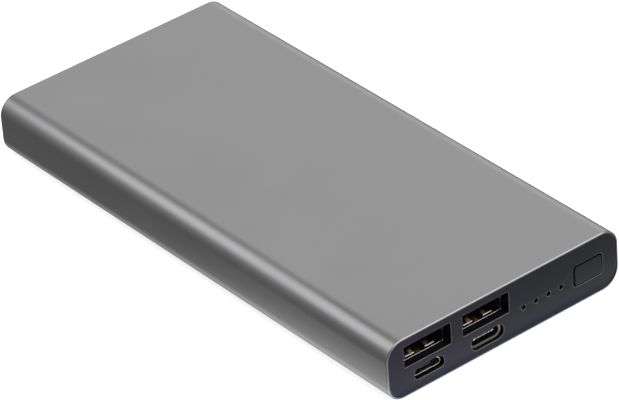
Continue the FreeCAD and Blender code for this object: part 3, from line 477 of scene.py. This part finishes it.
# ------------------------------------------------------------------ tube and covers
def add_screw_channel(mesh, side):
    """The rib down one inner side of the tube, bored for a screw and slotted towards the middle."""
    x = side * CHANNEL_X
    slot_half = math.asin(CHANNEL_SLOT_HALF / CHANNEL_HOLE)
    start = math.pi if side > 0 else 0.0
    turns = 28
    angles = [start + slot_half + (2 * math.pi - 2 * slot_half) * k / turns for k in range(turns + 1)]

    def arc(radius, stops_round):
        return [(x + radius * math.cos(a), MIDDLE_Z + radius * math.sin(a)) for a in stops_round]

    profile = arc(CHANNEL_RADIUS, angles) + arc(CHANNEL_HOLE, reversed(angles))
    start_depth = depth_of("front_bulkhead") + BULKHEAD_THICKNESS
    ends = []
    for depth in (start_depth, LENGTH - start_depth):
        ends.append([mesh.verts.new((px, FRONT_Y + depth, pz)) for px, pz in profile])
        mesh.faces.new(ends[-1])
    skin(mesh, ends)


def build_sleeve(anodised, cut_rim):
    """The tube: outside, cut rims, end seats and bore, as rings of (depth, inset), and the screw channels."""
    mesh = bmesh.new()
    soft = 0.04 * MM

    def rim(depth_at):
        """Stops from the bore out over one end's rim, with the material of the gap after each."""
        return [
            (depth_at(TAPE_BACK), WALL, 0),
            (depth_at(TAPE_BACK), RIM_WALL, 0),
            (depth_at(soft), RIM_WALL, 1),
            (depth_at(0), RIM_WALL - soft, 1),
            (depth_at(0), RIM_CHAMFER + soft, 1),
            (depth_at(soft / 4), RIM_CHAMFER - soft / 4, 1),
            (depth_at(RIM_CHAMFER - soft / 4), soft / 4, 0),
            (depth_at(RIM_CHAMFER + soft), 0, 0),
        ]

    front = rim(lambda d: d)
    rear = list(reversed(rim(lambda d: LENGTH - d)))
    rear_materials = [stop[2] for stop in rear[1:]] + [0]
    stops = [stop[:2] for stop in front + rear]
    rings = [ring(mesh, body_outline(inset), depth, steps=20) for depth, inset in stops]
    skin(mesh, rings, closed=True, materials=[stop[2] for stop in front] + rear_materials)
    for side in (-1, 1):
        add_screw_channel(mesh, side)
    sleeve = finish_mesh(mesh, "sleeve_tube", [anodised, cut_rim])
    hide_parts("sleeve")
    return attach(sleeve, "housing")


def rounded_plate(name, outside, holes, materials, at_rear=False):
    """A cover: the edges of its face are rounded, and each hole has a rounded edge with a painted highlight
    and black walls of painted shade.
    """
    mesh = bmesh.new()

    def along(depth):
        return LENGTH - depth if at_rear else depth

    face_rings, back_rings = [], []
    for number, outline in enumerate([outside] + holes):
        grow, radius = (-1, COVER_ROUND) if number == 0 else (1, OPENING_ROUND)
        rounded = [(along(COVER_FACE + d), grow * inset) for d, inset in quarter_turn(radius)]
        rings = [ring(mesh, outline, depth, growth) for depth, growth in rounded]
        rings.append(ring(mesh, outline, along(COVER_BACK)))
        # The rounded rings take the painted edge highlight, and the walls behind them the painted shade
        # black.
        skin(mesh, rings, materials=[1] * (len(rings) - 2) + [2])
        face_rings.append(rings[0])
        back_rings.append(rings[-1])
    cap(mesh, face_rings)
    cap(mesh, back_rings)
    return finish_mesh(mesh, name, materials)


def micro_opening():
    """The micro-USB opening: wide below with large corners, narrower above."""
    low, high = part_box("micro_usb_shell")
    x = (low.x + high.x) / 2
    half_low, half_high = (high.x - low.x) / 2 - MICRO_CORNER, MICRO_HALF_TOP - MICRO_CORNER
    floor, knee, top = low.z + MICRO_CORNER, low.z + MICRO_KNEE, low.z + MICRO_HEIGHT - MICRO_CORNER
    centres = [
        (x + half_low, floor),
        (x + half_low - MICRO_LEAN, knee),
        (x + half_high, top),
        (x - half_high, top),
        (x - half_low + MICRO_LEAN, knee),
        (x - half_low, floor),
    ]
    return (centres, MICRO_CORNER + MICRO_MARGIN)


def indicator_xs():
    low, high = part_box("status_leds")
    first, last = low.x + LED_HALF_WIDTH, high.x - LED_HALF_WIDTH
    return [first + (last - first) * i / (INDICATOR_COUNT - 1) for i in range(INDICATOR_COUNT)]


def build_front_cover(materials):
    holes = []
    for side in ("left", "right"):
        centre = centre_of(f"usb_a_{side}_insulator")
        holes.append(rounded_box(*USB_A_OPENING, centre.x, centre.z))
    usb_c = centre_of("usb_c_insulator")
    holes.append(rounded_box(*USB_C_OPENING, usb_c.x, usb_c.z))
    holes.append(micro_opening())
    button = centre_of("power_button")
    holes.append(rounded_box(*BUTTON_SLOT, button.x, button.z))
    pin_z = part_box("light_guide")[0].z + LIGHT_BAR_BELOW
    holes += [([(x, pin_z)], INDICATOR_RADIUS) for x in indicator_xs()]
    plate = rounded_plate("front_cover_plate", body_outline(COVER_INSET), holes, materials)
    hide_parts("front_cover")
    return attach(plate, "housing")


def build_rear_cover(materials):
    plate = rounded_plate("rear_cover_plate", body_outline(COVER_INSET), [], materials, at_rear=True)
    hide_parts("rear_cover")
    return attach(plate, "housing")


def build_power_button(slate, black):
    """The button: a cap with a rounded face and black sides of painted shade, its flange, and the post behind
    it.
    """
    low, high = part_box("power_button")
    x, post_z = (low.x + high.x) / 2, centre_of("switch_plunger").z
    z = centre_of("power_button").z
    flange_front = COVER_BACK + FLANGE_GAP
    flange_back = flange_front + FLANGE_THICKNESS
    cap_outline = rounded_box(*BUTTON_CAP, x, z)
    flange_outline = rounded_box(high.x - low.x, high.z - low.z, FLANGE_CORNER, x, z)
    post_outline = rounded_box(*BUTTON_POST, x, post_z)
    mesh = bmesh.new()
    rings = [ring(mesh, cap_outline, BUTTON_FACE + d, -inset) for d, inset in quarter_turn(BUTTON_ROUND)]
    fillets = len(rings) - 1
    rings.append(ring(mesh, cap_outline, flange_front))
    rings += [ring(mesh, flange_outline, depth) for depth in (flange_front, flange_back)]
    rings += [ring(mesh, post_outline, depth) for depth in (flange_back, high.y - FRONT_Y)]
    # Material 1, behind the rounded face, is the near-black painted shade.
    skin(mesh, rings, materials=[0] * fillets + [1] * (len(rings) - 1 - fillets))
    cap(mesh, rings[:1])
    cap(mesh, rings[-1:], 1)
    button = finish_mesh(mesh, "power_button_cap", [slate, black])
    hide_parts("power_button")
    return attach(button, "power_button")


# ------------------------------------------------------------------ cells and foam
EDGE_THICKNESS = 0.06  # what is left of a pad at its very edge, as a share
OPEN_CREASE = 0.25  # how deep creases are away from the edges, as a share
FOLD_PLANE = 5.0  # where in the noise each face's folds are cut, so that the two faces differ

SEAM_WIDTH, SEAM_OVERLAP = 0.35 * MM, 0.3 * MM
SEAM_INSET = 1.5 * MM
SEAM_LOW, SEAM_HIGH = 1.6 * MM, 4.8 * MM
TERRACE_LENGTH, TERRACE_OVERLAP = 3.5 * MM, 1.2 * MM
TERRACE_INSET, TERRACE_HALF = 1.5 * MM, 0.15 * MM


def stops(start, end, roll, step, roll_steps=4):
    """Places from start to end: close together where the edges roll over, and even between."""
    rolled = [roll * (1 - math.cos(math.pi / 2 * k / roll_steps)) for k in range(roll_steps + 1)]
    middle = end - start - 2 * roll
    count = max(1, round(middle / step))
    inner = [start + roll + middle * k / count for k in range(1, count)]
    return [start + r for r in rolled] + inner + [end - r for r in reversed(rolled)]


def fullness(place, start, end, roll, crown):
    """How thick a pad is at a place across it, as a share: it rolls off at both edges and crowns between."""
    near = min(place - start, end - place)
    share = min(1.0, near / roll)
    off_centre = (2 * place - start - end) / (end - start)
    rolled = EDGE_THICKNESS + (1 - EDGE_THICKNESS) * math.sqrt(1 - (1 - share) ** 2)
    return rolled * (1 - crown * off_centre**2)


def add_pad(mesh, low, high, thin, roll, step, crown=0.0, crease=0.0, ripple=7 * MM):
    """A closed pad between two corners, thin along one axis, creased most towards its edges."""
    u, v = [axis for axis in range(3) if axis != thin]
    us, vs = stops(low[u], high[u], roll, step), stops(low[v], high[v], roll, step)
    middle, half = (low[thin] + high[thin]) / 2, (high[thin] - low[thin]) / 2
    borders = []
    for side in (-1, 1):
        sheet = []
        for a in us:
            for b in vs:
                full = fullness(a, low[u], high[u], roll, crown) * fullness(b, low[v], high[v], roll, crown)
                edge = min(a - low[u], high[u] - a, b - low[v], high[v] - b)
                fold = abs(noise.noise(Vector((a / ripple, b / ripple, FOLD_PLANE * side))))
                dent = crease * fold * (OPEN_CREASE + math.exp(-edge / ripple))
                place = Vector()
                place[u], place[v], place[thin] = a, b, middle + side * full * (half - dent)
                sheet.append(mesh.verts.new(place))
        columns, rows = len(us), len(vs)
        for i in range(columns - 1):
            for j in range(rows - 1):
                first = i * rows + j
                mesh.faces.new([sheet[k] for k in (first, first + 1, first + rows + 1, first + rows)])
        border = [sheet[i * rows] for i in range(columns - 1)]
        border += [sheet[(columns - 1) * rows + j] for j in range(rows - 1)]
        border += [sheet[i * rows + rows - 1] for i in range(columns - 1, 0, -1)]
        border += [sheet[j] for j in range(rows - 1, 0, -1)]
        borders.append(border)
    skin(mesh, borders)


def build_cell(node, foil):
    """A pouch cell: a crowned, creased pouch, its side seams folded up, and a flat terrace in front."""
    low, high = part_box(node)
    middle = (low.z + high.z) / 2
    mesh = bmesh.new()
    body_low, body_high = low + Vector((SEAM_WIDTH, TERRACE_LENGTH, 0)), high - Vector((SEAM_WIDTH, 0, 0))
    pouch_edge = {"thin": 2, "roll": 1.4 * MM, "step": 1.6 * MM, "crown": 0.02, "crease": 0.22 * MM}
    seam_edge = {"thin": 0, "roll": 0.15 * MM, "step": 1.0 * MM, "crease": 0.1 * MM, "ripple": 4 * MM}
    terrace_edge = {"thin": 2, "roll": 0.1 * MM, "step": 1.0 * MM, "crease": 0.05 * MM, "ripple": 3 * MM}
    add_pad(mesh, body_low, body_high, **pouch_edge)
    for x0, x1 in ((low.x, body_low.x + SEAM_OVERLAP), (body_high.x - SEAM_OVERLAP, high.x)):
        strip_low = Vector((x0, body_low.y + SEAM_INSET, low.z + SEAM_LOW))
        strip_high = Vector((x1, body_high.y - SEAM_INSET, low.z + SEAM_HIGH))
        add_pad(mesh, strip_low, strip_high, **seam_edge)
    flat_low = Vector((body_low.x + TERRACE_INSET, low.y, middle - TERRACE_HALF))
    flat_high = Vector((body_high.x - TERRACE_INSET, body_low.y + TERRACE_OVERLAP, middle + TERRACE_HALF))
    add_pad(mesh, flat_low, flat_high, **terrace_edge)
    pouch = finish_mesh(mesh, node + "_pouch", [foil])
    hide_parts(node)
    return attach(pouch, "housing")


def build_foam_pad(node, foam):
    low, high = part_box(node)
    size = high - low
    thin = min(range(3), key=lambda axis: size[axis])
    mesh = bmesh.new()
    roll, crease = min(0.5 * MM, size[thin] / 3), 0.12 * size[thin]
    add_pad(mesh, low, high, thin, roll, step=1.5 * MM, crown=0.04, crease=crease, ripple=3 * MM)
    pad = finish_mesh(mesh, node + "_foam", [foam])
    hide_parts(node)
    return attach(pad, "housing")


# ------------------------------------------------------------------ materials on the CAD nodes
def slot_finishes(plastic):
    """One material for each of the record's slots. Finer pieces replace the nodes of the first three."""
    return {
        "sleeve_aluminium": plastic,
        "cover_plastic": plastic,
        "button_plastic": plastic,
        "frame_plastic": moulded_plastic("frame_plastic", (0.006, 0.006, 0.0065), 0.7, specular=0.2),
        "tape": moulded_plastic("black_tape", (0.006, 0.006, 0.006), 0.8, 0.5 * MM, 0.1),
        # The clear light guide is drawn near black: painted shade deep in the indicator holes.
        "clear_plastic": moulded_plastic("light_guide_painted_shade", (0.004, 0.004, 0.004), 0.35, specular=0.3),
        "led_package": moulded_plastic("led_package", (0.62, 0.62, 0.55), 0.4),
        "nickel_steel": plated_metal("nickel_plate", (0.72, 0.70, 0.67), 0.2),
        "socket_plastic": moulded_plastic("socket_plastic", (0.008, 0.008, 0.009), 0.45),
        "micro_plastic": moulded_plastic("dark_teal_plastic", (0.010, 0.028, 0.032), 0.4),
        "gold_plating": plated_metal("gold_plate", (1.0, 0.72, 0.46), 0.3),
        "circuit_board": circuit_board(),
        "screw_steel": plated_metal("black_zinc_steel", (0.10, 0.10, 0.105), 0.35),
        "chip_plastic": moulded_plastic("chip_epoxy", (0.018, 0.018, 0.019), 0.6),
        "ferrite": moulded_plastic("pressed_ferrite", (0.08, 0.08, 0.085), 0.65, 0.1 * MM),
        "capacitor_ceramic": moulded_plastic("tan_ceramic", (0.38, 0.27, 0.17), 0.5),
        "resistor_ceramic": moulded_plastic("dark_glaze", (0.05, 0.05, 0.055), 0.3),
        "tantalum_moulding": moulded_plastic("amber_moulding", (0.50, 0.28, 0.05), 0.4),
        "spring_steel": plated_metal("spring_steel", (0.55, 0.55, 0.54), 0.25),
        "switch_plastic": moulded_plastic("switch_nylon", (0.02, 0.02, 0.02), 0.55),
        "plunger_plastic": moulded_plastic("white_acetal", (0.6, 0.6, 0.58), 0.4),
        "nickel_tab": plated_metal("nickel_strip", (0.62, 0.61, 0.58), 0.3),
        "bond_tape": moulded_plastic("tissue_tape", (0.68, 0.68, 0.66), 0.8, 1.0 * MM),
        "pouch_foil": pouch_foil(),
        "foam": open_cell_foam(),
        "amber_film": amber_film(),
        "insulating_film": moulded_plastic("insulating_film", (0.03, 0.03, 0.03), 0.5, 1.0 * MM),
        "thermistor_bead": moulded_plastic("epoxy_bead", (0.02, 0.02, 0.02), 0.25),
        "tinned_wire": plated_metal("tinned_wire", (0.6, 0.58, 0.55), 0.3),
    }


def dress_frame_nodes(finishes):
    for part in frame["record"]["subparts"]:
        obj = frame["nodes"][part["node"]]
        obj.data.materials.clear()
        obj.data.materials.append(finishes[part["material_slot"]])
        smooth(obj, sharp_degrees=30)
    # The USB-C shell gets a darker copy of the shell steel: painted shade for its recessed mouth.
    frame["nodes"]["usb_c_shell"].data.materials[0] = usb_c_steel_painted_shade()


# ------------------------------------------------------------------ stage
# direction, inner and outer half-angle in degrees, strength
STUDIO_LIGHTS = [
    ((0.72, 0.56, 0.44), 22, 46, 0.52),
    ((0.90, 0.42, 0.10), 25, 45, 0.22),
    ((-0.42, 0.66, 0.62), 14, 28, 0.28),
    ((-0.75, 0.65, 0.05), 25, 50, 0.12),
    ((0.25, -0.62, 0.70), 20, 46, 1.4),
]
AMBIENT = (0.14, 0.14, 0.145)
GLOW_FRONT = 1.0  # light that the floor throws on the port end
GLOW_LEFT = 0.8  # and on the left side
GLOW_BASE = 0.05
GLOW_SOFT = 1.0 * MM  # how far ahead of the port end its light takes to reach full strength
GLOW_FADE_START, GLOW_FADE_END, GLOW_FAR = 4.5 * MM, 10 * MM, 0.42
GLOW_CORNER = (-42 * MM, -30 * MM)  # where the front light fades out towards the left
GLOW_REACH = (10 * MM, 2.5 * MM)  # how wide the left light is at the port end and towards the rear
GLOW_TAPER_END = 0.8 * -FRONT_Y  # where the left light has narrowed and dimmed
GLOW_LEFT_EDGE = (-2.0 * MM, 0.2 * MM)  # beside the left side: where its light starts
GLOW_BROAD = (0.15, 0.10)  # the even light on the left, at the port end and at the rear
COOL_EDGE, COOL_FADE = (-0.2 * MM, 0.1 * MM), (0.6 * MM, 2 * MM)  # bluish just ahead of the port end


def world_lobe(tree, direction, inner_degrees, outer_degrees, strength):
    """One soft patch of light in the surroundings, as a value socket."""
    coords = tree.nodes.new("ShaderNodeTexCoord")
    dot = tree.nodes.new("ShaderNodeVectorMath")
    dot.operation = "DOT_PRODUCT"
    tree.links.new(coords.outputs["Generated"], dot.inputs[0])
    dot.inputs[1].default_value = Vector(direction).normalized()
    edge = tree.nodes.new("ShaderNodeMapRange")
    edge.interpolation_type = "SMOOTHSTEP"
    tree.links.new(dot.outputs["Value"], edge.inputs[0])
    edge.inputs[1].default_value = math.cos(math.radians(outer_degrees))
    edge.inputs[2].default_value = math.cos(math.radians(inner_degrees))
    edge.inputs[4].default_value = strength
    return edge.outputs[0]


def build_surroundings():
    """A studio drawn in the background: soft boxes for the object, a white backdrop for the eye."""
    world = bpy.data.worlds.new("studio")
    bpy.context.scene.world = world
    world.use_nodes = True
    tree = world.node_tree
    tree.nodes.clear()
    total = None
    for item in STUDIO_LIGHTS:
        patch = world_lobe(tree, *item)
        if total is not None:
            both = tree.nodes.new("ShaderNodeMath")
            both.operation = "ADD"
            tree.links.new(total, both.inputs[0])
            tree.links.new(patch, both.inputs[1])
            patch = both.outputs[0]
        total = patch
    ambient = tree.nodes.new("ShaderNodeVectorMath")
    ambient.operation = "ADD"
    tree.links.new(total, ambient.inputs[0])
    ambient.inputs[1].default_value = AMBIENT
    lit = tree.nodes.new("ShaderNodeBackground")
    tree.links.new(ambient.outputs[0], lit.inputs["Color"])
    seen = tree.nodes.new("ShaderNodeBackground")
    seen.inputs["Color"].default_value = (1, 1, 1, 1)
    path = tree.nodes.new("ShaderNodeLightPath")
    mix = tree.nodes.new("ShaderNodeMixShader")
    out = tree.nodes.new("ShaderNodeOutputWorld")
    tree.links.new(path.outputs["Is Camera Ray"], mix.inputs[0])
    tree.links.new(lit.outputs[0], mix.inputs[1])
    tree.links.new(seen.outputs[0], mix.inputs[2])
    tree.links.new(mix.outputs[0], out.inputs["Surface"])


def floor_plane(name, size, below, material):
    mesh = bmesh.new()
    bmesh.ops.create_grid(mesh, x_segments=1, y_segments=1, size=size)
    data = bpy.data.meshes.new(name)
    mesh.to_mesh(data)
    mesh.free()
    data.materials.append(material)
    floor = bpy.data.objects.new(name, data)
    bpy.context.scene.collection.objects.link(floor)
    floor.location.z = LOW.z - below
    return floor


def build_floor():
    """The pale floor that the camera sees. The object's surfaces see the glow below instead."""
    s = Shader("pale_floor")
    s.set(
        Base_Color=(0.5, 0.5, 0.5),
        Roughness=0.9,
        Specular_IOR_Level=0.0,
        Emission_Color=(1, 1, 1),
        Emission_Strength=0.82,
    )
    floor = floor_plane("studio_floor", 4.0, 0.02 * MM, s.material)
    floor.visible_glossy = False
    floor.visible_diffuse = False


def build_floor_glow():
    """What the object's surfaces see of the floor: bright before the ports and by the left side."""
    s = Shader("floor_glow")
    x, y = s.along("X"), s.along("Y")
    ahead = s.maths("SUBTRACT", FRONT_Y, y)
    rise = s.spread(ahead, 0, 1, 0, GLOW_SOFT, True)
    fade = s.spread(ahead, 1, GLOW_FAR, GLOW_FADE_START, GLOW_FADE_END, True)
    right_of_left = s.spread(x, 0, 1, *GLOW_CORNER, True)
    front = s.maths("MULTIPLY", s.maths("MULTIPLY", rise, fade), right_of_left)
    beside = s.maths("SUBTRACT", -WIDTH / 2, x)
    reach = s.spread(y, *GLOW_REACH, FRONT_Y, GLOW_TAPER_END, True)
    near = s.spread(s.maths("DIVIDE", beside, reach), 1, 0)
    outside = s.spread(beside, 0, 1, *GLOW_LEFT_EDGE)
    forward = s.spread(y, 1, 0.5, FRONT_Y, GLOW_TAPER_END, True)
    left = s.maths("MULTIPLY", s.maths("MULTIPLY", near, outside), forward)
    dim = s.spread(y, *GLOW_BROAD, FRONT_Y, -FRONT_Y)
    broad = s.maths("MULTIPLY", dim, outside)
    strips = s.maths("ADD", s.maths("MULTIPLY", front, GLOW_FRONT), s.maths("MULTIPLY", left, GLOW_LEFT))
    total = s.maths("ADD", s.maths("ADD", strips, broad), GLOW_BASE)
    past_front = s.spread(ahead, 0, 1, *COOL_EDGE)
    cool = s.maths("MULTIPLY", past_front, s.spread(ahead, 1, 0, *COOL_FADE))
    emission = s.add("Emission", Strength=total)
    s.put(emission, "Color", s.tint(cool, (1.0, 1.0, 1.0), (0.45, 0.65, 1.0)))
    s.tree.links.new(emission.outputs[0], s.tree.nodes["Material Output"].inputs["Surface"])
    glow = floor_plane("floor_glow", 0.4, 0.01 * MM, s.material)
    glow.visible_camera = False
    glow.visible_diffuse = False
    glow.visible_transmission = False
    glow.visible_shadow = False


# A square soft box close to the object, in millimetres and watts
CARD_PLACE, CARD_AIM = (-145, 140, 205), (-35, -20, 10)
CARD_SIZE, CARD_WATTS = 190, 0.11

# A round soft box overhead, in metres and watts
OVERHEAD_SIZE, OVERHEAD_HEIGHT, OVERHEAD_WATTS = 1.6, 1.4, 14


def build_card():
    """The near soft box, above the rear left of the object."""
    light = bpy.data.lights.new("card", "AREA")
    light.shape = "RECTANGLE"
    light.size = light.size_y = CARD_SIZE * MM
    light.energy = CARD_WATTS
    lamp = bpy.data.objects.new("card", light)
    lamp.location = Vector(CARD_PLACE) * MM
    direction = Vector(CARD_AIM) * MM - lamp.location
    lamp.rotation_euler = direction.to_track_quat("-Z", "Y").to_euler()
    lamp.visible_camera = False
    bpy.context.scene.collection.objects.link(lamp)


def build_key_light():
    """A large soft box overhead that lights the floor evenly round the object."""
    light = bpy.data.lights.new("overhead", "AREA")
    light.shape = "DISK"
    light.size = OVERHEAD_SIZE
    light.energy = OVERHEAD_WATTS
    lamp = bpy.data.objects.new("overhead", light)
    lamp.location = (0, 0, OVERHEAD_HEIGHT)
    lamp.visible_glossy = False
    bpy.context.scene.collection.objects.link(lamp)


# ------------------------------------------------------------------ camera
CAMERA_AZIMUTH = -37.03
CAMERA_ELEVATION = 33.26
CAMERA_ROLL = -4.37
CAMERA_DISTANCE = 1062.6 * MM
CAMERA_LENS = 259.5
SENSOR = 36.0
AIM_RIGHT, AIM_UP = 4.03 * MM, -2.49 * MM  # how far the lens's axis passes from the body's centre
SHIFT_X, SHIFT_Y = -0.0133, -0.0013


def build_camera():
    azimuth, elevation = math.radians(CAMERA_AZIMUTH), math.radians(CAMERA_ELEVATION)
    level = Vector((math.sin(azimuth), -math.cos(azimuth), 0))
    back = level * math.cos(elevation) + Vector((0, 0, math.sin(elevation)))
    level_right = Vector((0, 0, 1)).cross(back).normalized()
    right = Matrix.Rotation(math.radians(CAMERA_ROLL), 3, back) @ level_right
    up = back.cross(right)
    centre = Vector((0, 0, MIDDLE_Z))
    place = centre + back * CAMERA_DISTANCE + right * AIM_RIGHT + up * AIM_UP
    data = bpy.data.cameras.new("camera")
    data.lens = CAMERA_LENS
    data.sensor_width = SENSOR
    data.shift_x, data.shift_y = SHIFT_X, SHIFT_Y
    data.clip_start, data.clip_end = 0.05, 20
    camera = bpy.data.objects.new("camera", data)
    basis = Matrix((right, up, back)).transposed()
    camera.matrix_world = Matrix.Translation(place) @ basis.to_4x4()
    bpy.context.scene.collection.objects.link(camera)
    bpy.context.scene.camera = camera


# ------------------------------------------------------------------ build everything
slate = cover_plastic()
# Painted highlight for the rounded cover edges.
edge = edge_highlight_plastic()
# Near-black painted shade for the opening walls and the button's sides.
black = opening_painted_shade()
finishes = slot_finishes(slate)
dress_frame_nodes(finishes)
build_sleeve(anodised_aluminium(), cut_rim_aluminium())
build_front_cover([slate, edge, black])
build_rear_cover([slate, edge, black])
build_power_button(slate, black)
for node in ("cell_lower", "cell_upper"):
    build_cell(node, finishes["pouch_foil"])
for node in ("foam_pad_lower", "foam_pad_upper", "foam_pad_rear"):
    build_foam_pad(node, finishes["foam"])
build_surroundings()
build_floor()
build_floor_glow()
build_card()
build_key_light()
build_camera()
bpy.context.scene.view_settings.view_transform = "Standard"
